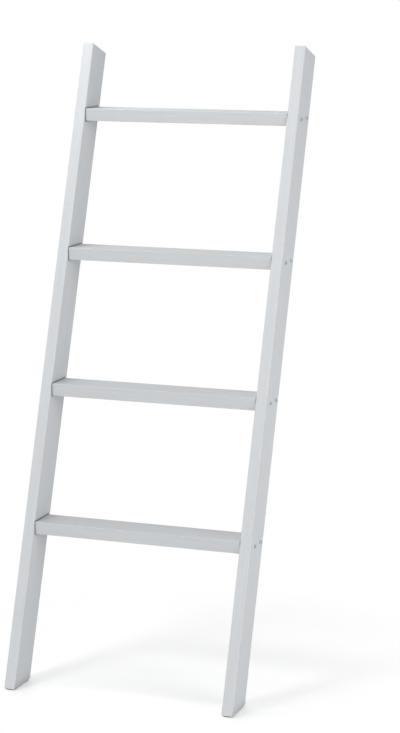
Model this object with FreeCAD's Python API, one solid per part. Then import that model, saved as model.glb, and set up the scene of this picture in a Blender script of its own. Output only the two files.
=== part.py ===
import FreeCAD, Part
import math
import os

Vector = FreeCAD.Vector

# A leaning towel ladder of painted boards, in millimetres and degrees.
# X runs to the right, Y to the back and Z up. The floor is Z = 0.

# Whole ladder
overall_width = 500.0
lean_angle = 18.9

# Rails, the two long leaning boards
rail_length = 1380.0
rail_depth = 74.0
rail_thickness = 23.5
rail_edge_radius = 1.2
rail_end_bevel = 1.0

# Rungs, the level boards; their heights are those of their top faces
rung_thickness = 26.0
rung_edge_radius = 1.2
rung_end_bevel = 1.0
rung_setback = 0.3
lower_rung_height = 331.5
rung_spacing = 276.2
shelf_below_top = 137.0

# Foot pads, under the level feet of the rails
pad_thickness = 2.0
pad_margin = 1.5
pad_corner_radius = 3.0

# Connecting screws, two at each end of a rung; their length is taken under the head
screw_front_distance = 20.0
screw_spacing = 35.0
screw_head_diameter = 9.0
screw_head_height = 2.5
screw_shank_diameter = 6.0
screw_length = 60.0
socket_across_flats = 4.0
socket_depth = 2.2

# Holes for the screws
shank_clearance = 0.2
pilot_clearance = 0.1
pilot_spare_depth = 3.0

# Sizes that follow from the ones above
lean = math.radians(lean_angle)
rail_level_depth = rail_depth / math.cos(lean)
inner_face = overall_width / 2 - rail_thickness
outer_face = overall_width / 2
head_face = outer_face + screw_head_height
head_radius = screw_head_diameter / 2
shank_radius = screw_shank_diameter / 2
screw_tip = outer_face - screw_length
pilot_bottom = screw_tip - pilot_spare_depth
pad_inset = rail_edge_radius + pad_margin
rail_top = pad_thickness + rail_length * math.cos(lean)
centre_depth = (rail_length * math.sin(lean) + rail_depth * math.cos(lean)) / 2

sides = {"left": -1, "right": 1}
rung_heights = {
    "lower": lower_rung_height,
    "middle": lower_rung_height + rung_spacing,
    "upper": lower_rung_height + 2 * rung_spacing,
    "shelf": rail_top - shelf_below_top,
}


def rail_front_at(height):
    """Depth of the rails' front faces at a height above the floor."""
    return (height - pad_thickness) * math.tan(lean) - centre_depth


def rung_depths(height):
    """Front and back of a rung: its top front and bottom back edges line up with the rails' faces."""
    front = rail_front_at(height) + rung_setback
    back = rail_front_at(height - rung_thickness) + rail_level_depth - rung_setback
    return front, back


def screw_places(height):
    """The front and back screw axes of a rung, at the middle of its thickness."""
    front_screw = rung_depths(height)[0] + screw_front_distance
    middle = height - rung_thickness / 2
    return {
        "front": (front_screw, middle),
        "back": (front_screw + screw_spacing, middle),
    }


def all_screw_places():
    """Every screw axis on one side of the ladder."""
    return [place for height in rung_heights.values() for place in screw_places(height).values()]


def edges_along(shape, direction):
    """The straight edges of a shape that run along a direction."""
    found = []
    for edge in shape.Edges:
        run = edge.Vertexes[-1].Point - edge.Vertexes[0].Point
        if run.cross(direction).Length < 1e-6 * run.Length:
            found.append(edge)
    return found


def edges_on(shape, point, normal):
    """The edges of a shape that lie in a plane."""
    found = []
    for edge in shape.Edges:
        ends = [vertex.Point - point for vertex in edge.Vertexes]
        if all(abs(end.dot(normal)) < 1e-6 for end in ends):
            found.append(edge)
    return found


def round_bar(side, depth, height, inner_end, outer_end, radius):
    """Solid cylinder on a level screw axis, between two distances from the centre plane."""
    start = Vector(side * inner_end, depth, height)
    return Part.makeCylinder(radius, outer_end - inner_end, start, Vector(side, 0, 0))


def rail_hole(side, depth, height):
    """Clear hole through a rail for one screw."""
    return round_bar(side, depth, height, inner_face, outer_face, shank_radius + shank_clearance)


def rail(side):
    """Leaning board with a level foot, a square top, rounded long edges, bevelled ends and its screw holes."""
    along = Vector(0, math.sin(lean), math.cos(lean))
    across = Vector(0, math.cos(lean), -math.sin(lean))
    inner_x = side * inner_face
    foot = Vector(inner_x, rail_front_at(pad_thickness), pad_thickness)
    top = foot + along * rail_length
    outline = [foot, top, top + across * rail_depth, foot + Vector(0, rail_level_depth, 0)]
    face = Part.Face(Part.makePolygon(outline + outline[:1]))
    board = face.extrude(Vector(side * rail_thickness, 0, 0))
    end_edges = edges_on(board, foot, Vector(0, 0, 1)) + edges_on(board, top, along)
    board = board.makeChamfer(rail_end_bevel, end_edges)
    board = board.makeFillet(rail_edge_radius, edges_along(board, along))
    return board.cut([rail_hole(side, *place) for place in all_screw_places()])


def pilot_hole(side, depth, height):
    """Blind hole in the end of a rung for the shank of one screw."""
    return round_bar(side, depth, height, pilot_bottom, inner_face, shank_radius + pilot_clearance)


def rung(height):
    """Level board between the rails, with rounded long edges, bevelled ends and pilot holes in them."""
    front, back = rung_depths(height)
    corner = Vector(-inner_face, front, height - rung_thickness)
    other_end = Vector(inner_face, front, height)
    along = Vector(1, 0, 0)
    board = Part.makeBox(2 * inner_face, back - front, rung_thickness, corner)
    end_edges = edges_on(board, corner, along) + edges_on(board, other_end, along)
    board = board.makeChamfer(rung_end_bevel, end_edges)
    board = board.makeFillet(rung_edge_radius, edges_along(board, along))
    places = screw_places(height).values()
    holes = [pilot_hole(side, *place) for side in sides.values() for place in places]
    return board.cut(holes)


def hex_socket(side, depth, height):
    """Six-sided recess in a screw head, for a key."""
    corner_radius = socket_across_flats / 2 / math.cos(math.pi / 6)
    mouth = side * head_face
    corners = []
    for step in range(6):
        angle = step * math.pi / 3
        corner_depth = depth + corner_radius * math.cos(angle)
        corner_height = height + corner_radius * math.sin(angle)
        corners.append(Vector(mouth, corner_depth, corner_height))
    face = Part.Face(Part.makePolygon(corners + corners[:1]))
    return face.extrude(Vector(-side * socket_depth, 0, 0))


def connecting_screw(side, depth, height):
    """Screw whose flat socket head sits on the rail and whose shank runs through it into the rung."""
    head = round_bar(side, depth, height, outer_face, head_face, head_radius)
    shank = round_bar(side, depth, height, screw_tip, outer_face, shank_radius)
    return head.fuse(shank).cut(hex_socket(side, depth, height))


def foot_pad(side):
    """Thin pad on the flat of a rail's foot, clear of the foot's rounded edges, with rounded corners."""
    length = rail_level_depth - 2 * pad_inset
    width = rail_thickness - 2 * pad_inset
    nearest_x = min(side * inner_face, side * outer_face)
    corner = Vector(nearest_x + pad_inset, rail_front_at(pad_thickness) + pad_inset, 0)
    pad = Part.makeBox(width, length, pad_thickness, corner)
    return pad.makeFillet(pad_corner_radius, edges_along(pad, Vector(0, 0, 1)))


def build():
    """All pieces of the ladder by name."""
    pieces = {"top_shelf": rung(rung_heights["shelf"])}
    for name in ("lower", "middle", "upper"):
        pieces[name + "_rung"] = rung(rung_heights[name])
    for side_name, side in sides.items():
        pieces[side_name + "_rail"] = rail(side)
        pieces[side_name + "_foot_pad"] = foot_pad(side)
        for rung_name, height in rung_heights.items():
            for place_name, place in screw_places(height).items():
                node = "_".join((rung_name, side_name, place_name, "screw"))
                pieces[node] = connecting_screw(side, *place)
    return pieces


os.makedirs("parts", exist_ok=True)
for node, shape in build().items():
    shape.exportStep("parts/" + node + ".step")
    box = shape.BoundBox
    print(node, "valid" if shape.isValid() else "INVALID", len(shape.Solids), round(shape.Volume, 1),
          [round(value, 2) for value in (box.XMin, box.XMax, box.YMin, box.YMax, box.ZMin, box.ZMax)])
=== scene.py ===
# %% [markdown]
# A leaning towel ladder: two long painted boards, the rails, carry three level rungs and a narrow
# top shelf, and screws driven through the rails hold them. The shapes and sizes come from the
# construction model, which is loaded first and never moved. This lesson gives every surface its
# finish, makes the screws and the foot pads in full detail, and sets up a plain studio picture.

# %% Load the ladder as built
import math

import bpy
import numpy as np
from mathutils import Color, Euler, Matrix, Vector


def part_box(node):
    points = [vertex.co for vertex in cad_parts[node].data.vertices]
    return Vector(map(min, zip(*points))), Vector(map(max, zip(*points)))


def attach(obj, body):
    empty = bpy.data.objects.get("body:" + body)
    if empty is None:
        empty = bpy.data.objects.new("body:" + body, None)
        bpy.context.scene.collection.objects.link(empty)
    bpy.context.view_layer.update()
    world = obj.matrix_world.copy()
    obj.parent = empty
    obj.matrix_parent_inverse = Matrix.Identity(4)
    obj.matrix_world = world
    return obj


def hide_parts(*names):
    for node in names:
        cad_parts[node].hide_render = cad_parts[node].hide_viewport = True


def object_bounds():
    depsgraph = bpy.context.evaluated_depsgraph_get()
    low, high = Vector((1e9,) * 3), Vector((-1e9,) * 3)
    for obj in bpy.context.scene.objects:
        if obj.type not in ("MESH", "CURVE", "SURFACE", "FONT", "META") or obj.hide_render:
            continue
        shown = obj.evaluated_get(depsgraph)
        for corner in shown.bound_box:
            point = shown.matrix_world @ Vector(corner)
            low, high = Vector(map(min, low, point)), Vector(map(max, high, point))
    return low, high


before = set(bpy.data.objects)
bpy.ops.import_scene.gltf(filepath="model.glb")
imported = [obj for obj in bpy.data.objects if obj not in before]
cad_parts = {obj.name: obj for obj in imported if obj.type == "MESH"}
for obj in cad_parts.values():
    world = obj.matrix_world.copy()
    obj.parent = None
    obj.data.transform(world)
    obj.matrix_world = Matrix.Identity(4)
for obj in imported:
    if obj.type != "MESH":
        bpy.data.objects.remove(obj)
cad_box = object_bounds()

print("built size in metres:", [round(float(size), 4) for size in cad_box[1] - cad_box[0]])

# %% [markdown]
# Nothing on the ladder moves, so the model has one body. Its boards, pads and screws are named
# nodes, and their sizes are read from them and not written again here. The lean could be written as
# a number too, but the model already holds it: all rungs sit alike in the leaning rails, so a line
# from the lowest rung to the shelf leans exactly as the rails do.

# %% Names of the pieces and the lean of the rails
body = "root"
rails = ["left_rail", "right_rail"]
rungs = ["lower_rung", "middle_rung", "upper_rung", "top_shelf"]
pads = ["left_foot_pad", "right_foot_pad"]
screws = sorted(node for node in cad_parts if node.endswith("_screw"))


def corners(node):
    """Lowest and highest corner of a node, as two arrays in metres."""
    low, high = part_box(node)
    return np.array(low), np.array(high)


rise = corners("top_shelf")[0] - corners("lower_rung")[0]
lean = math.atan2(rise[1], rise[2])
print("lean of the rails:", round(math.degrees(lean), 2), "degrees;", len(screws), "screws")

# %% [markdown]
# A board's finish follows its length. It could be painted through a map on the mesh, but the built
# meshes stay as they are, so each board gets axes of its own: across the thickness, across the width
# and along the length. A rail's axes are the room's, tipped back by the lean, and a rung's are the
# room's, turned on their side. Measuring the mesh along them gives the middle and half of each size.

# %% Each board's own axes, middle and half sizes
millimetre = 0.001
rail_turn = (-lean, 0.0, 0.0)
rung_turn = (0.0, math.pi / 2, 0.0)
board_turns = dict.fromkeys(rails, rail_turn) | dict.fromkeys(rungs, rung_turn)


def measured(node, turn):
    """Middle and half sizes of a board along its own axes: its points are projected on each axis."""
    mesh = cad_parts[node].data
    points = np.empty(3 * len(mesh.vertices), np.float32)
    mesh.vertices.foreach_get("co", points)
    axes = np.array(Euler(turn).to_matrix())
    places = points.reshape(-1, 3) @ axes
    low, high = places.min(axis=0), places.max(axis=0)
    return axes @ ((low + high) / 2), (high - low) / 2


for board, turn in board_turns.items():
    sizes = 2 * measured(board, turn)[1] / millimetre
    print(board, "thickness, width, length in mm:", np.round(sizes, 1))

# %% [markdown]
# A finish is a tree of shader nodes. Each node could be placed and linked by hand, but that is long
# and hard to read, so two small classes do it. The first is a Wire: a number that comes out of a
# node. Sums, products and powers of wires add the Math nodes for them, so a finish reads like the
# formula that it is.

# %% A Wire, for arithmetic with nodes


class Wire:
    """An output of a node. Arithmetic on it adds Math nodes to its recipe and gives a new Wire."""

    def __init__(self, recipe, socket):
        self.recipe = recipe
        self.socket = socket

    def maths(self, operation, *terms):
        """Adds one Math node, with its terms in order."""
        return self.recipe.node("ShaderNodeMath", {"operation": operation}, dict(enumerate(terms)))

    def __add__(self, other):
        return self.maths("ADD", self, other)

    def __sub__(self, other):
        return self.maths("SUBTRACT", self, other)

    def __rsub__(self, other):
        return self.maths("SUBTRACT", other, self)

    def __mul__(self, other):
        return self.maths("MULTIPLY", self, other)

    def __truediv__(self, other):
        return self.maths("DIVIDE", self, other)

    def __rtruediv__(self, other):
        return self.maths("DIVIDE", other, self)

    def __pow__(self, other):
        return self.maths("POWER", self, other)

    def __rpow__(self, other):
        return self.maths("POWER", other, self)

    def __abs__(self):
        return self.maths("ABSOLUTE", self)

    __radd__ = __add__
    __rmul__ = __mul__

    def fraction(self):
        """What is left above the last whole number."""
        return self.maths("FRACT", self)

    def least(self, other):
        """The smaller of two."""
        return self.maths("MINIMUM", self, other)

    def most(self, other):
        """The larger of two."""
        return self.maths("MAXIMUM", self, other)

    def ramp(self, start, end):
        """A smooth step that is 0 up to start and 1 from end on."""
        return self.recipe.node(
            "ShaderNodeMapRange",
            {"interpolation_type": "SMOOTHSTEP"},
            {"Value": self, "From Min": start, "From Max": end},
        )


def skills(kind):
    """Names of what a class can do."""
    return ", ".join(name.strip("_") for name, value in vars(kind).items() if callable(value))


print("a Wire knows:", skills(Wire))

# %% [markdown]
# The second class is a Recipe, the whole tree. Blender's own calls would take a line for each setting
# and each link, so one method adds any node, with its settings and with a value or a link on each
# input. A few short methods name the nodes that come up again and again.

# %% A Recipe, for trees of nodes


class Recipe:
    """The node tree of a material or of the world, filled by one method."""

    def __init__(self, tree):
        self.tree = tree
        self.tree.nodes.clear()

    def node(self, kind, settings=None, inputs=None, output=0):
        """Adds a node: its settings first, then a value or a link on each input. Gives its output."""
        made = self.tree.nodes.new(kind)
        for setting, value in (settings or {}).items():
            setattr(made, setting, value)
        for name, value in (inputs or {}).items():
            if isinstance(value, Wire):
                self.tree.links.new(value.socket, made.inputs[name])
            else:
                made.inputs[name].default_value = value
        if isinstance(output, tuple):
            return [Wire(self, made.outputs[name]) for name in output]
        return Wire(self, made.outputs[output]) if len(made.outputs) else None

    def place(self):
        """Where a point of the surface lies in the room, in metres."""
        return self.node("ShaderNodeTexCoord", output="Object")

    def parts(self, vector):
        """The three numbers of a vector."""
        return self.node("ShaderNodeSeparateXYZ", inputs={"Vector": vector}, output=(0, 1, 2))

    def mix(self, share, first, second):
        """A colour between two colours."""
        inputs = {0: share, 6: first, 7: second}
        return self.node("ShaderNodeMix", {"data_type": "RGBA"}, inputs, output=2)

    def noise(self, place, scale, detail=2.0):
        """Soft random values from 0 to 1; scale is in patches per metre."""
        inputs = {"Vector": place, "Scale": scale, "Detail": detail}
        return self.node("ShaderNodeTexNoise", inputs=inputs)

    def stretched(self, place, scale):
        """A place with each of its three numbers scaled, so that a pattern on it runs one way."""
        return self.node("ShaderNodeVectorMath", {"operation": "MULTIPLY"}, {0: place, 1: scale})

    def relief(self, height, strength):
        """Bumps from a height in millimetres."""
        inputs = {"Height": height, "Strength": strength, "Distance": millimetre}
        return self.node("ShaderNodeBump", inputs=inputs)

    def finish(self, **inputs):
        """Ends the recipe with the general surface shader; an underscore stands for a space."""
        sockets = {name.replace("_", " "): value for name, value in inputs.items()}
        shader = self.node("ShaderNodeBsdfPrincipled", inputs=sockets)
        self.node("ShaderNodeOutputMaterial", inputs={"Surface": shader})


print("a Recipe knows:", skills(Recipe))

# %% [markdown]
# Each finish starts as an empty material with a recipe of its own. Its colours could be written down
# as light, which is what Blender mixes, but few people can picture that. So they are written as a
# screen shows them, from 0 to 255, and a helper turns them into light.

# %% New materials and colours


def new_material(name):
    """An empty material and its recipe."""
    material = bpy.data.materials.new(name)
    material.use_nodes = True
    return material, Recipe(material.node_tree)


def shown_as(*levels):
    """The light, with its alpha, that a screen shows for a red, a green and a blue level."""
    screen = Color([level / 255 for level in levels])
    return (*screen.from_srgb_to_scene_linear(), 1.0)


print("light of a screen grey of 220:", round(shown_as(220, 220, 220)[0], 3))

# %% [markdown]
# Where a rung butts against a rail, the paint bridges no joint: a fine open line stays between the
# boards. The corner beside it is painted darker, which is painted shade standing for the shade that
# falls into that corner. Shadows alone would give a faint line, so the paint is told how far each place
# is from the nearest joint. On a rung that is the distance to its nearer end. On a rail it is the
# distance outside the nearest rung's box, which is 0 where the rung touches. Across the rail it counts
# three times, so that the shade keeps to the inner face.

# %% Distance to the nearest joint
across_weight = 3.0


def way_to_rail(place, half_length):
    """Distance along a rung to its nearer end: half its length less the distance from its middle."""
    across = place.recipe.parts(place)[0]
    return half_length - abs(across)


def way_to_rung(place, half_length):
    """Distance on a rail to the nearest rung, and half the rail's length at most. For one rung it is
    the largest overshoot past its box along X, Y and Z, where the one along X is weighed more."""
    room = place.recipe.parts(place)
    nearest = half_length
    for rung in rungs:
        low, high = corners(rung)
        middle, half = ((low + high) / 2).tolist(), ((high - low) / 2).tolist()
        beyond = [abs(part - at) - reach for part, at, reach in zip(room, middle, half)]
        nearest = (across_weight * beyond[0]).most(beyond[1]).most(beyond[2]).least(nearest)
    return nearest


rung_end = float(corners("lower_rung")[1][0]) / millimetre
print("rungs meet the rails", round(rung_end, 2), "mm from the middle")

# %% [markdown]
# The boards are planed softwood. A board is a slice of a log, so its growth rings are tubes about a
# line, the pith, that runs beside the board. Wavy lines on each face would do from afar, but they
# would not meet at the edges. Tubes make straight lines on one face, long arches on the next and
# arcs on the end grain, all in register. Each board is cut from another part of the log, so its pith
# lies a step further off, shifted and slanted by its own amount.

# %% Growth rings
ring_width = 0.0034
ring_wander = 0.012
wander_scale = 22.0
fibre_stretch = (1.0, 1.0, 0.05)
late_wood_power = 3.0
pith_distance = 0.045
pith_step = 0.011
pith_shift = 0.03
pith_slant = 0.02
shift_turn = 2.4
slant_turn = 1.7


def pith_line(count):
    """Distance, shift and slant of the pith beside one board: a step further, and two waves."""
    distance = pith_distance + pith_step * count
    shift = pith_shift * math.sin(shift_turn * count)
    slant = pith_slant * math.cos(slant_turn * count)
    return distance, shift, slant


def growth_rings(recipe, board, pith):
    """Rings between a place and the pith: its distance from the pith's line, with a slow wander along
    the fibre, over the width of a ring."""
    thick, wide, along = recipe.parts(board)
    distance, shift, slant = pith
    across = thick - distance
    beside = wide - shift + along * slant
    wander = recipe.noise(recipe.stretched(board, fibre_stretch), wander_scale, detail=3.0)
    return ((across * across + beside * beside) ** 0.5 + ring_wander * wander) / ring_width


piths = [pith_line(count) for count in range(len(board_turns))]
print("the piths lie", [round(pith[0] / millimetre) for pith in piths], "mm from the boards' middles")

# %% [markdown]
# Over the wood lies a satin, light grey paint. The brush leaves streaks and fine furrows along the
# board, the coat dries with a slight orange peel, and its shade wavers from place to place. A scan of
# brushed paint could show that, but it would repeat and blur close up. Noise on the board's own axes
# does neither, and stretched along the board it runs the way the brush ran.

# %% Marks of the brush
cloud_scale = 9.0
streak_scale = 140.0
furrow_scale = 900.0
peel_scale = 700.0
middle_band = (0.3, 0.7)
cloud_share = 0.4
streak_share = 0.6


def brush_marks(recipe, board):
    """The coat's uneven shade, which is a share of cloud and one of streak, and its relief."""
    fibre = recipe.stretched(board, fibre_stretch)
    cloud = recipe.noise(board, cloud_scale, detail=3.0)
    streak = recipe.noise(fibre, streak_scale, detail=3.0)
    return {
        "uneven": cloud_share * cloud.ramp(*middle_band) + streak_share * streak.ramp(*middle_band),
        "streak": streak,
        "furrow": recipe.noise(fibre, furrow_scale),
        "peel": recipe.noise(board, peel_scale),
    }


mark_widths = [round(1 / scale / millimetre, 1) for scale in (streak_scale, furrow_scale)]
print("streaks and furrows are about", mark_widths, "mm wide")

# %% [markdown]
# Use leaves marks as well. Ends drink more paint and dry rougher. On the rounded edges the coat is
# thinner and rubbed smoother. The broad sides close to the floor, and the corners beside the joints,
# are painted darker, which is painted shade, and made rougher. Such marks could be brushed on by hand,
# but each follows from where a place lies on its board, so a rule finds it: how near it is to an end,
# to an edge, to the floor or to a joint.

# %% Marks of use
end_band = (0.9985, 0.9999)
edge_width = 0.0022
edge_band = (0.1, 0.8)
# painted shade near the floor reaches this high, in metres
floor_shade_height = 0.03
joint_core = 0.2


def wear_marks(recipe, place, board, half):
    """Masks of the ends, the edges and the painted shade near the floor, from 0 to 1. An end is the
    last of the length, an edge is where the rims of two sides overlap, and the shade near the floor is
    the square of the nearness to the floor, on the broad sides."""
    thick, wide, along = recipe.parts(board)
    near_face = (abs(thick) - (half[0] - edge_width)) / edge_width
    near_side = (abs(wide) - (half[1] - edge_width)) / edge_width
    low = 1.0 - recipe.parts(place)[2].ramp(0.0, floor_shade_height)
    return {
        "end": (abs(along) / half[2]).ramp(*end_band),
        "edge": near_face.least(near_side).ramp(*edge_band),
        # painted shade: the broad sides darken close to the floor
        "dust": near_face.ramp(*edge_band) * low * low,
    }


def joint_marks(place, half, coat):
    """Masks of the open line at a joint and of the painted shade in the corner beside it: the line
    fades out over its width as the way to the joint grows, and the corner shade is the square of such a
    fade."""
    way = coat["way to joint"](place, half[2])
    width = coat["joint width"]
    return {
        "joint": 1.0 - way.ramp(joint_core * width, width),
        # painted shade: the corner beside a joint is darker
        "corner": (1.0 - way.ramp(0.0, coat["corner width"])) ** 2.0,
    }


print("edges are rubbed over", round(edge_width / millimetre, 1), "mm")

# %% [markdown]
# The paint is a light grey with a trace of blue. One coat for all boards would do from afar, but the
# rungs are painted a shade deeper than the rails, which is painted shade: they get less light than the
# leaning rails. Their joints also show less, because only their ends meet a rail. So a rail's coat and
# a rung's are written down apart: a lighter and a darker tone, the way to a joint, how wide the marks
# there are, in metres, and how strong. Both coats share the colours of thin paint, of painted shade and
# of open joints.

# %% Colours of the paint
rail_coat = {
    "light": shown_as(219, 222, 225),
    "dark": shown_as(213, 216, 219),
    "way to joint": way_to_rung,
    "joint width": 0.0012,
    "corner width": 0.0070,
    "painted corner shade": 0.8,
}
# the rung's coat is a shade darker than the rail's, as painted shade for the less light the rungs get
rung_coat = {
    "light": shown_as(214, 217, 220),
    "dark": shown_as(208, 211, 214),
    "way to joint": way_to_rail,
    "joint width": 0.0006,
    "corner width": 0.0040,
    "painted corner shade": 0.4,
}
paint_thin = shown_as(226, 224, 216)
# grey of the painted shade in corners and near the floor, and of the dark rings in end grain
shade_and_end_ring_grey = shown_as(150, 152, 152)
joint_dark = shown_as(78, 78, 76)
paint_levels = [round(coat["light"][1], 3) for coat in (rail_coat, rung_coat)]
print("rails and rungs reflect", paint_levels, "of the light")

# %% [markdown]
# Now the paint itself. One noise for its colour, its gloss and its relief would be quick, but on real
# paint they belong together: a rubbed edge is lighter and smoother at once. So the same marks serve all
# three, and where shade is painted into corners and near the floor, the paint is rougher too. As thin
# layers of colour they lie over each other, from the coat's uneven tone to the dark line at the joints,
# and sums of them give the roughness and the height of the relief.

# %% Painted wood
wood_tints = {"late wood": 0.12, "end": 0.25}
end_ring_tint = 0.16
edge_tint = 0.5
# share of painted shade at the foot of the broad sides
floor_shade_tint = 0.32
joint_tint = 0.85
paint_roughness = 0.5
roughness_shares = {"uneven": 0.14, "late wood": 0.05, "end": 0.1, "edge": -0.08, "shade_and_dust": 0.2}
relief_heights = {"late wood": 0.18, "streak": 0.06, "furrow": 0.05, "peel": 0.015, "end rings": 0.2}
relief_strength = 0.6
paint_index = 1.42


def weighed(shares, marks):
    """Sum of marks, each times its share."""
    return sum(share * marks[name] for name, share in shares.items())


def painted_board(name, turn, middle, half, pith, coat):
    """Satin paint over one planed board: layers of colour, a sum of roughness and a sum of heights."""
    material, recipe = new_material(name)
    place = recipe.place()
    to_board = {"Vector": place, "Location": middle, "Rotation": turn}
    board = recipe.node("ShaderNodeMapping", {"vector_type": "TEXTURE"}, to_board)
    rings = growth_rings(recipe, board, pith)
    marks = brush_marks(recipe, board) | wear_marks(recipe, place, board, half)
    marks |= joint_marks(place, half, coat)
    marks["late wood"] = rings.fraction() ** late_wood_power
    marks["end rings"] = marks["end"] * rings.fraction()
    # places of painted shade, which are made rougher as well
    marks["shade_and_dust"] = marks["corner"].most(marks["dust"])
    layers = [
        (marks["uneven"], coat["light"]),
        (weighed(wood_tints, marks), coat["dark"]),
        (end_ring_tint * marks["end"] * marks["late wood"], shade_and_end_ring_grey),
        (edge_tint * marks["edge"] * marks["furrow"], paint_thin),
        # painted shade: darker in the corners beside the joints and on the broad sides close to the
        # floor
        ((coat["painted corner shade"] * marks["corner"]).most(floor_shade_tint * marks["dust"]), shade_and_end_ring_grey),
        (joint_tint * marks["joint"], joint_dark),
    ]
    tone = coat["dark"]
    for share, colour in layers:
        tone = recipe.mix(share, tone, colour)
    rough = paint_roughness + weighed(roughness_shares, marks)
    bumps = recipe.relief(weighed(relief_heights, marks), relief_strength)
    recipe.finish(Base_Color=tone, Roughness=rough, Normal=bumps, IOR=paint_index)
    return material


for (board, turn), pith in zip(board_turns.items(), piths):
    middle, half = (sizes.tolist() for sizes in measured(board, turn))
    coat = rail_coat if board in rails else rung_coat
    paint = painted_board("paint_on_" + board, turn, middle, half, pith, coat)
    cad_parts[board].data.materials.clear()
    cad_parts[board].data.materials.append(paint)
print("painted boards:", ", ".join(board_turns))

# %% [markdown]
# The screws and the foot pads are small, and the built model keeps them plain, so they are made again
# as finer surfaces. Both are stacks of rings: a screw is turned, so its rings are circles about its
# axis, and a moulded pad's are rectangles with round corners. Blender could spin a profile, but not
# one whose rings change shape on the way, so one helper skins any stack of rings. Each point is
# joined to its neighbours on the ring and on the next ring, and a single point closes each end.

# %% Faces of a stack of rings


def ring_faces(count, columns):
    """Faces of a stack of rings: a four-sided face between two neighbours on a ring and on the next,
    and a fan of triangles at each end. Point i of ring r has the number columns * r + i, and the two
    end points come last."""
    here = np.arange(columns)
    after = np.roll(here, -1)
    ring = columns * np.arange(count - 1)[:, None]
    beyond = ring + columns
    last = columns * (count - 1)
    first_end = np.full(columns, columns * count)
    bands = np.stack([ring + here, beyond + here, beyond + after, ring + after], axis=-1)
    first_fan = np.stack([first_end, here, after], axis=-1)
    last_fan = np.stack([first_end + 1, last + after, last + here], axis=-1)
    return bands.reshape(-1, 4).tolist() + first_fan.tolist() + last_fan.tolist()


sample_stack = (3, 4)
print("three rings of four points make", len(ring_faces(*sample_stack)), "faces")

# %% [markdown]
# A turned piece carries marks that run round it, so its finish must know which way is round. Blender
# could unwrap the mesh, but into islands whose marks wouldn't meet. A stack of rings has a map of its
# own instead: the turn about the stack and the way along it, in the same order as the faces.

# %% Map of a stack of rings


def ring_map(rings):
    """Map of those faces, corner by corner: the turn about the stack, from 0 to 1, and the way along
    it in metres, which adds up the mean distance from each ring to the next."""
    count, columns = rings.shape[:2]
    steps = np.linalg.norm(np.diff(rings, axis=0), axis=2).mean(axis=1)
    way = np.concatenate([[0.0], np.cumsum(steps)])
    turn = np.broadcast_to(np.arange(columns) / columns, (count - 1, columns))
    next_turn = turn + 1 / columns
    low, high = (np.broadcast_to(side[:, None], turn.shape) for side in (way[:-1], way[1:]))
    bands = np.stack([turn, low, turn, high, next_turn, high, next_turn, low], axis=-1)
    here, after = turn[0], next_turn[0]
    first, last = np.full(columns, way[0]), np.full(columns, way[-1])
    first_fan = np.stack([here, first, here, first, after, first], axis=-1)
    last_fan = np.stack([here, last, after, last, here, last], axis=-1)
    return np.concatenate([bands.ravel(), first_fan.ravel(), last_fan.ravel()])


print("their map has", len(ring_map(np.zeros((*sample_stack, 3)))) // 2, "corners")

# %% [markdown]
# A finer piece takes the place of its plain node, which stays behind it unseen. It could be joined to
# what it touches, but as a piece of its own it can still be taken apart like the real one. It is shaded
# smooth, and edges that turn by more than a set angle stay sharp.

# %% A closed piece in place of a node
map_name = "turn_and_way"
sharp_angle = math.radians(38)


def ringed_piece(name, rings, material, node):
    """Closed piece through a stack of rings, an array of ring, column and XYZ, in place of a node."""
    mesh = bpy.data.meshes.new(name)
    ends = rings[[0, -1]].mean(axis=1)
    points = np.concatenate([rings.reshape(-1, 3), ends])
    mesh.from_pydata(points.tolist(), [], ring_faces(*rings.shape[:2]))
    mesh.uv_layers.new(name=map_name).data.foreach_set("uv", ring_map(rings).astype(np.float32))
    mesh.shade_smooth()
    mesh.set_sharp_from_angle(angle=sharp_angle)
    mesh.materials.append(material)
    piece = bpy.data.objects.new(name, mesh)
    bpy.context.scene.collection.objects.link(piece)
    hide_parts(node)
    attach(piece, body)
    return piece


print("edges stay sharp from", round(math.degrees(sharp_angle)), "degrees on")

# %% [markdown]
# The screws are zinc-plated steel. A lathe leaves fine rings on what it turns, and plating follows
# them, so the relief runs round the screw. Straight noise would look like scratches: on the piece's map
# it is long in the turn and short in the way instead. The plating itself is slightly cloudy. The way
# starts in the middle of the socket, so it also tells where the socket is painted darker, which is
# painted shade in its hollow, and where handling has polished the head's rim.

# %% Zinc-plated steel
zinc_light = shown_as(202, 205, 209)
zinc_dark = shown_as(188, 191, 195)
# grey of the painted shade in the socket's hollow
zinc_socket_shade = shown_as(104, 104, 104)
zinc_rubbed = shown_as(214, 216, 219)
socket_shade_tint = 0.6
rubbed_tint = 0.7
socket_way = (0.0034, 0.0043)
rim_way = (0.0052, 0.0058, 0.0064)
lathe_stretch = (3.0, 7000.0, 1.0)
plating_scale = 900.0
plating_share = 0.5
zinc_roughness = 0.26
zinc_roughness_shares = {"plating": 0.12, "lathe": 0.12, "rubbed": -0.06}
lathe_relief = 0.02


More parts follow.
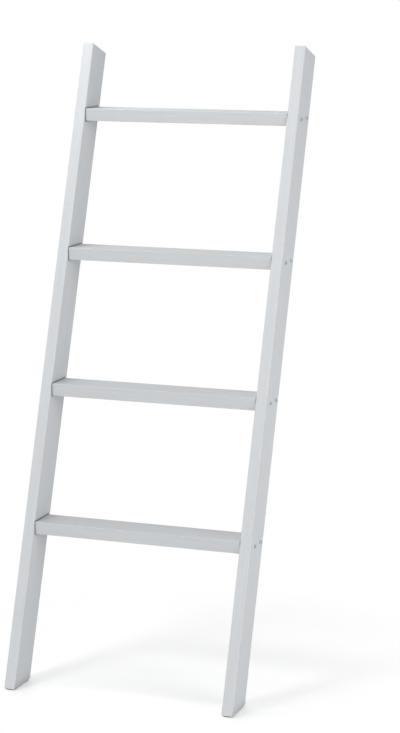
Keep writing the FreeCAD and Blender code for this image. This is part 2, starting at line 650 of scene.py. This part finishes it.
def plated_steel():
    """Zinc plating over turned steel: cloudy greys, with turning marks round the axis."""
    material, recipe = new_material("zinc_plated_steel")
    turn_and_way = recipe.node("ShaderNodeUVMap", {"uv_map": map_name})
    way = recipe.parts(turn_and_way)[1]
    lathe = recipe.noise(recipe.stretched(turn_and_way, lathe_stretch), 1.0)
    plating = recipe.noise(recipe.place(), plating_scale, detail=3.0)
    # painted shade: the socket's hollow is darker
    socket_shade = 1.0 - way.ramp(*socket_way)
    rubbed = way.ramp(*rim_way[:2]) * (1.0 - way.ramp(*rim_way[1:]))
    cloudy = plating_share * plating.ramp(*middle_band) + (1 - plating_share) * lathe
    tone = recipe.mix(cloudy, zinc_dark, zinc_light)
    tone = recipe.mix(rubbed_tint * rubbed, tone, zinc_rubbed)
    tone = recipe.mix(socket_shade_tint * socket_shade, tone, zinc_socket_shade)
    marks = {"plating": plating, "lathe": lathe, "rubbed": rubbed}
    rough = zinc_roughness + weighed(zinc_roughness_shares, marks)
    bumps = recipe.relief(lathe_relief * lathe, relief_strength)
    recipe.finish(Base_Color=tone, Roughness=rough, Normal=bumps, Metallic=1.0)
    return material


zinc = plated_steel()
print("zinc reflects", round(zinc_dark[1], 2), "to", round(zinc_light[1], 2), "of the light")

# %% [markdown]
# A connecting screw has a flat head with a six-sided socket for a key, a plain neck where it passes
# through the rail, and a coarse thread that bites into the rung's end. A boolean could cut the
# socket, and a modifier could wind the thread, but the joins between them would need mending. One
# grid takes it all instead: a ring lies at some depth under the face of the head, and a rule gives
# its radius at each angle. The socket comes first, and its rule is a hexagon. All sizes are in
# millimetres and keep within the built screw.

# %% Socket of a screw
ring_columns = 36
key_size = 4.0
socket_floor = 2.2
floor_shares = np.array([0.3, 0.65, 0.97, 1.0])
floor_sinks = np.array([0.35, 0.2, 0.05, 0.0])
mouth_depth = 0.4
mouth_radius = 2.6

around = 2 * math.pi * np.arange(ring_columns) / ring_columns
flat_turn = math.pi / 3
hexagon = 1 / np.cos((around + flat_turn / 2) % flat_turn - flat_turn / 2)


def socket_rings():
    """Depths and radii from the drilled floor of the socket, up its six walls, to its round mouth. A
    wall's radius is half the key size over the cosine of the angle from the middle of its flat."""
    depth = np.concatenate([socket_floor + floor_sinks, [mouth_depth, 0.0]])
    walls = np.append(floor_shares, 1.0)[:, None] * hexagon * key_size / 2
    mouth = np.full((1, ring_columns), mouth_radius)
    return depth, np.concatenate([walls, mouth])


print("rings of the socket:", len(socket_rings()[0]))

# %% [markdown]
# The head and the neck are turned, so their rings are circles. A plain disc would do for the head, but
# a sharp rim catches no light. A real rim is rounded, which gives each head its small bright line, so
# the rim is a quarter circle. A small bevel ends the head's seat, and a slight flare joins the neck.

# %% Head and neck of a screw
face_radius = 3.2
head_radius = 4.5
head_height = 2.5
rim_radius = 0.6
rim_steps = 5
seat_break = 0.15
neck_radius = 2.9
neck_flare = 0.1


def turned_rings():
    """Depths and radii of the head's face, its rim, a quarter circle, its seat and the neck."""
    swing = np.linspace(0, math.pi / 2, rim_steps)
    rim_depth = rim_radius * (1 - np.cos(swing))
    rim = head_radius - rim_radius * (1 - np.sin(swing))
    profile = [
        (0.0, face_radius),
        *zip(rim_depth, rim),
        (head_height - seat_break, head_radius),
        (head_height, head_radius - seat_break),
        (head_height, neck_radius + neck_flare),
        (head_height + neck_flare, neck_radius),
    ]
    depth, radius = np.array(profile).T
    return depth, np.repeat(radius[:, None], ring_columns, axis=1)


print("rings of the head and the neck:", len(turned_rings()[0]))

# %% [markdown]
# The thread is a ridge that winds round a core. Blender's Screw modifier could wind it, but the ridge
# would start and end as high as it runs. Here each ring has a bump at one angle, and from ring to
# ring the bump moves round, by one turn for each pitch. It rises over the first turn, as a real
# thread does where the die starts, and both the core and the ridge shrink towards the tip.

# %% Thread of a screw
core_radius = 2.1
thread_radius = 2.98
thread_pitch = 3.0
rings_per_pitch = 6
tip_length = 5.0
tip_radius = 0.9


def thread_rings(start, end):
    """Depths and radii of the thread. The sum of depth over pitch and of the turn runs from 0 to 1 and
    starts again. The ridge is sharp: it rises as a square to the middle of that run and falls again."""
    depth = np.arange(start, end, thread_pitch / rings_per_pitch)[:, None]
    place = (depth / thread_pitch + around / (2 * math.pi)) % 1.0
    ridge = (1 - np.abs(2 * place - 1)) ** 2
    run_in = np.clip((depth - start) / thread_pitch, 0, 1)
    taper = np.clip((end - depth) / tip_length, 0, 1)
    core = tip_radius + (core_radius - tip_radius) * taper
    return depth[:, 0], core + (thread_radius - core_radius) * ridge * run_in * np.sqrt(taper)


print("a thread of one tip's length has", len(thread_rings(0.0, tip_length)[0]), "rings")

# %% [markdown]
# Sixteen screws hold the ladder. Copies of one mesh would all show their sockets at the same angle,
# as on no real ladder, so each screw is turned on by the golden angle, and no two stand alike. A
# screw lies along X, with its head outside. A left screw is a right one turned half round, so both X
# and Z change sign. X alone would mirror it, wind its thread the wrong way and turn it inside out.

# %% All the screws
neck_run_out = 1.0
point_length = 0.3
point_radius = 0.54
golden_turn = math.pi * (3 - math.sqrt(5))
rail_low, rail_high = corners("right_rail")
rail_thickness = float(rail_high[0] - rail_low[0]) / millimetre


def screw_piece(node, turn):
    """A screw in its node's place, turned about its axis: each ring's depth goes inwards along X from
    the face of the head, and its radius goes round in Y and Z."""
    low, high = corners(node)
    middle = (low + high) / 2
    side = math.copysign(1.0, middle[0])
    length = float(high[0] - low[0]) / millimetre
    neck_end = head_height + rail_thickness
    neck = np.array([neck_end - neck_run_out]), np.full((1, ring_columns), neck_radius)
    thread = thread_rings(neck_end, length - point_length)
    point = np.array([length]), np.full((1, ring_columns), point_radius)
    stretches = [socket_rings(), turned_rings(), neck, thread, point]
    depth = millimetre * np.concatenate([stretch[0] for stretch in stretches])
    radius = millimetre * np.concatenate([stretch[1] for stretch in stretches])
    face = max(abs(low[0]), abs(high[0]))
    rings = np.empty((*radius.shape, 3))
    rings[..., 0] = side * (face - depth[:, None])
    rings[..., 1] = middle[1] + radius * np.cos(around + turn)
    rings[..., 2] = middle[2] + side * radius * np.sin(around + turn)
    return ringed_piece("threaded_" + node, rings, zinc, node)


screw_pieces = [screw_piece(node, count * golden_turn) for count, node in enumerate(screws)]
print(len(screw_pieces), "screws of", len(screw_pieces[0].data.polygons), "faces each")

# %% [markdown]
# The foot pads are moulded from a matt, dark rubber that keeps the ladder from sliding. Its specks are
# far too fine to model, so noise gives them, both as shade and as relief. Dust from the floor clings
# to the lower edge and makes it paler in patches.

# %% Moulded rubber
rubber_dark = shown_as(46, 46, 48)
rubber_light = shown_as(62, 62, 64)
rubber_dusty = shown_as(128, 126, 122)
rubber_dust_height = 0.0012
rubber_dust_tint = 0.5
smear_scale = 160.0
smear_band = (0.4, 0.7)
speck_scale = 2500.0
speck_relief = 0.03
speck_strength = 0.5
rubber_roughness = 0.72
rubber_roughness_shares = {"speck": 0.15, "dust": 0.1}
rubber_index = 1.5


def foot_rubber():
    """Matt dark rubber with fine specks, paler where dust clings in smears to its lower edge."""
    material, recipe = new_material("moulded_rubber")
    place = recipe.place()
    speck = recipe.noise(place, speck_scale)
    smear = recipe.noise(place, smear_scale, detail=4.0).ramp(*smear_band)
    dust = (1.0 - recipe.parts(place)[2].ramp(0.0, rubber_dust_height)) * smear
    tone = recipe.mix(speck, rubber_dark, rubber_light)
    tone = recipe.mix(rubber_dust_tint * dust, tone, rubber_dusty)
    rough = rubber_roughness + weighed(rubber_roughness_shares, {"speck": speck, "dust": dust})
    bumps = recipe.relief(speck_relief * speck, speck_strength)
    recipe.finish(Base_Color=tone, Roughness=rough, Normal=bumps, IOR=rubber_index)
    return material


rubber = foot_rubber()
print("rubber reflects", round(rubber_dark[1], 3), "to", round(rubber_light[1], 3), "of the light")

# %% [markdown]
# A pad is a slab with round corners whose sides bulge a little under the load, and moulded grooves run
# round its underside, so that it grips. A bevelled box could pass for it from above, but has no
# grooves. A stack of rings has both: each ring is a rectangle with round corners, drawn in from the
# pad's outline by an inset, and the insets and heights go from the middle of the top, over the side,
# to the middle of the underside. They are in millimetres.

# %% Foot pads
corner_steps = 7
corner_radius = 3.0
least_radius = 0.2
top_share = 0.8
side_insets = np.array([0.3, 0.1, 0.02, 0.0, 0.02, 0.1, 0.3])
side_levels = np.array([1.0, 0.95, 0.75, 0.5, 0.25, 0.05, 0.0])
groove_start = 1.0
groove_spacing = 2.4
groove_depth = 0.6
groove_shares = np.array([0.0, 0.12, 0.42, 0.54])


def pad_outlines(half_width, half_length, inset):
    """Rectangles with round corners, one for each inset: four quarter circles, each about a point that
    lies its radius in from both sides, joined by straight runs."""
    quarter = math.pi / 2 * np.arange(4)[:, None]
    angle = (quarter + np.linspace(0, math.pi / 2, corner_steps)).ravel()
    diagonal = np.repeat(quarter + math.pi / 4, corner_steps)
    radius = np.maximum(corner_radius - inset, least_radius)[:, None]
    reach = inset[:, None] + radius
    x = np.sign(np.cos(diagonal)) * (half_width - reach) + radius * np.cos(angle)
    y = np.sign(np.sin(diagonal)) * (half_length - reach) + radius * np.sin(angle)
    return np.stack([x, y], axis=-1)


def pad_piece(node):
    """A foot pad in its node's place: rings from the top, over the bulged side, to the grooves. As the
    inset grows, a groove rises from the underside, runs level and comes down again."""
    low, high = corners(node)
    half_width, half_length, height = (high - low) / np.array([2, 2, 1]) / millimetre
    grooves = int((half_width - groove_start) / groove_spacing)
    groove_insets = groove_start + groove_spacing * (np.arange(grooves)[:, None] + groove_shares)
    groove_levels = np.tile([0.0, groove_depth, groove_depth, 0.0], grooves)
    inset = np.concatenate([[top_share * half_width], side_insets, groove_insets.ravel()])
    level = np.concatenate([[height], height * side_levels, groove_levels])
    rings = np.empty((len(inset), 4 * corner_steps, 3))
    outlines = pad_outlines(half_width, half_length, inset)
    rings[..., :2] = (low[:2] + high[:2]) / 2 + millimetre * outlines
    rings[..., 2] = low[2] + millimetre * level[:, None]
    return ringed_piece("moulded_" + node, rings, rubber, node)


pad_pieces = [pad_piece(node) for node in pads]
print(len(pad_pieces), "pads of", len(pad_pieces[0].data.polygons), "faces each")

# %% [markdown]
# The ladder stands on white studio paper. Lamps could be turned up until the paper is white, but then
# the ladder would be too bright. Near the feet it is real paper that takes the soft shadows and a
# faint reflection, and the camera sees it a little whiter than it is. Further out it turns into plain
# white light, so that the picture's background is even. What the camera sees is set apart with the
# Light Path node, and the light that the paper throws back on the ladder stays that of pale paper.

# %% Studio paper
lit_radius = 0.30
white_radius = 0.70
floor_lift = 0.06
floor_paper = shown_as(240, 240, 240)
floor_seen = (1.34, 1.34, 1.34, 1.0)
floor_roughness = 0.35
floor_index = 1.3
plain_white = (1.0, 1.0, 1.0, 1.0)


def seen_rays(recipe):
    """1 for rays that the eye follows: from the camera, in a reflection or through glass."""
    kinds = ("Is Camera Ray", "Is Glossy Ray", "Is Transmission Ray")
    camera, glossy, through = recipe.node("ShaderNodeLightPath", output=kinds)
    return camera.most(glossy).most(through)


def studio_paper():
    """Pale paper round the feet that turns into white light further out, as far as the eye sees it."""
    material, recipe = new_material("studio_paper")
    length = {"operation": "LENGTH"}
    distance = recipe.node("ShaderNodeVectorMath", length, {0: recipe.place()}, output="Value")
    seen = seen_rays(recipe)
    far = distance.ramp(lit_radius, white_radius) * seen
    tone = recipe.mix(seen, floor_paper, floor_seen)
    sheet_inputs = {"Base Color": tone, "Roughness": floor_roughness, "IOR": floor_index}
    sheet = recipe.node("ShaderNodeBsdfPrincipled", inputs=sheet_inputs)
    lift = recipe.node("ShaderNodeEmission", inputs={"Color": plain_white, "Strength": floor_lift})
    lifted = recipe.node("ShaderNodeAddShader", inputs={0: sheet, 1: lift})
    near = recipe.node("ShaderNodeMixShader", inputs={0: seen, 1: sheet, 2: lifted})
    white = recipe.node("ShaderNodeEmission", inputs={"Color": plain_white, "Strength": 1.0})
    shown = recipe.node("ShaderNodeMixShader", inputs={0: far, 1: near, 2: white})
    recipe.node("ShaderNodeOutputMaterial", inputs={"Surface": shown})
    return material


paper = studio_paper()
print("the paper is plain white from", white_radius, "metres on")

# %% [markdown]
# A curved backdrop is the usual way to hide a horizon, but its bend would show from other sides. Here
# the paper lies flat and reaches so far that its edge is lost in the white.

# %% Floor
floor_reach = 30.0

floor_mesh = bpy.data.meshes.new("studio_floor")
floor_corners = floor_reach * np.array([(-1, -1, 0), (1, -1, 0), (1, 1, 0), (-1, 1, 0)])
floor_mesh.from_pydata(floor_corners.tolist(), [], [(0, 1, 2, 3)])
floor_mesh.materials.append(paper)
floor = bpy.data.objects.new("studio_floor", floor_mesh)
bpy.context.scene.collection.objects.link(floor)
print("floor reaches", floor_reach, "metres each way")

# %% [markdown]
# The light is that of a white room. One even white all round would make the ladder look flat, so four
# wide panels of different strength stand round it. Each lights by the square of the cosine of the
# angle from its middle, so together they blend without edges. To the camera, and in reflections, the
# room is plain white.

# %% World
panel_levels = {
    "front left": (-1, -1, 1.0),
    "front right": (1, -1, 1.58),
    "back right": (1, 1, 0.15),
    "back left": (-1, 1, 1.4),
}


def studio_room():
    """White all round to the eye, and four soft panels to the ladder, each its cosine squared."""
    world = bpy.data.worlds.new("studio_room")
    world.use_nodes = True
    bpy.context.scene.world = world
    recipe = Recipe(world.node_tree)
    seen = seen_rays(recipe)
    direction = recipe.node("ShaderNodeTexCoord", output="Generated")
    dot = {"operation": "DOT_PRODUCT"}
    level = 0.0
    for x, y, panel in panel_levels.values():
        towards = {0: direction, 1: Vector((x, y, 0)).normalized()}
        facing = recipe.node("ShaderNodeVectorMath", dot, towards, output="Value")
        level = level + panel * facing.most(0.0) ** 2.0
    strength = level + seen * (1.0 - level)
    sky = recipe.node("ShaderNodeBackground", inputs={"Color": plain_white, "Strength": strength})
    recipe.node("ShaderNodeOutputWorld", inputs={"Surface": sky})


studio_room()
print("the room has", len(panel_levels), "panels")

# %% [markdown]
# Three soft lamps add to the room. The key lamp in front gives the shadows their direction. A tall
# strip stands close to the right rail, so it lights that rail more than the far one. A small lamp
# hangs over the top of the left rail, which is the brightest part. A lamp could be placed by hand in
# the viewport, but a distance and two angles from what it lights are easier to change.

# %% Lamps
side_lamp_height = 0.75
right_edge = corners("right_rail")[1][0]
lamps = {
    "key_lamp": {
        "target": (cad_box[0] + cad_box[1]) / 2,
        "distance": 3.2,
        "azimuth": 34,
        "elevation": 40,
        "size": (0.9, 0.9),
        "power": 14.3,
    },
    "side_lamp": {
        "target": (right_edge, 0.0, side_lamp_height),
        "distance": 0.9,
        "azimuth": -70,
        "elevation": 0,
        "size": (0.5, 1.8),
        "power": 3.2,
    },
    "top_lamp": {
        "target": corners("left_rail")[1],
        "distance": 0.7,
        "azimuth": 60,
        "elevation": 65,
        "size": (0.3, 0.3),
        "power": 3.3,
    },
}


def soft_lamp(name, target, distance, azimuth, elevation, size, power):
    """A flat lamp that faces a target; azimuth turns from the front to the left, in degrees."""
    light = bpy.data.lights.new(name, "AREA")
    light.shape = "RECTANGLE"
    light.size, light.size_y = size
    light.energy = power
    lamp = bpy.data.objects.new(name, light)
    turn, lift = math.radians(azimuth), math.radians(elevation)
    reach = math.cos(lift)
    towards = Vector((-math.sin(turn) * reach, -math.cos(turn) * reach, math.sin(lift)))
    lamp.location = Vector(target) + distance * towards
    lamp.rotation_euler = towards.to_track_quat("Z", "Y").to_euler()
    bpy.context.scene.collection.objects.link(lamp)
    print(name, "at", [round(part, 2) for part in lamp.location])


for name, setting in lamps.items():
    soft_lamp(name, **setting)

# %% [markdown]
# The camera stands to the right of the ladder, a little higher than its top, and looks down and to
# the left. It could be moved until the picture looks right, but many places nearly fit. Its place,
# its turn and its lens come from the straight edges of the rails and rungs instead, which fix them
# together with the ladder's proportions. The lens is long, so the rails hardly narrow towards their
# tops. The Standard view shows each colour as it was written.

# %% Camera
camera_place = (1.5995, -4.1053, 1.4706)
camera_pitch = math.radians(10.555)
camera_yaw = math.radians(20.231)
camera_lens = 105.68
camera_sensor = 36.0

camera_data = bpy.data.cameras.new("studio_camera")
camera_data.sensor_width = camera_sensor
camera_data.lens = camera_lens
camera = bpy.data.objects.new("studio_camera", camera_data)
camera.location = camera_place
camera.rotation_euler = (math.pi / 2 - camera_pitch, 0.0, camera_yaw)
bpy.context.scene.collection.objects.link(camera)
bpy.context.scene.camera = camera
bpy.context.scene.view_settings.view_transform = "Standard"
print("camera at", camera_place)

# %% [markdown]
# The finer pieces must not change the ladder's size.
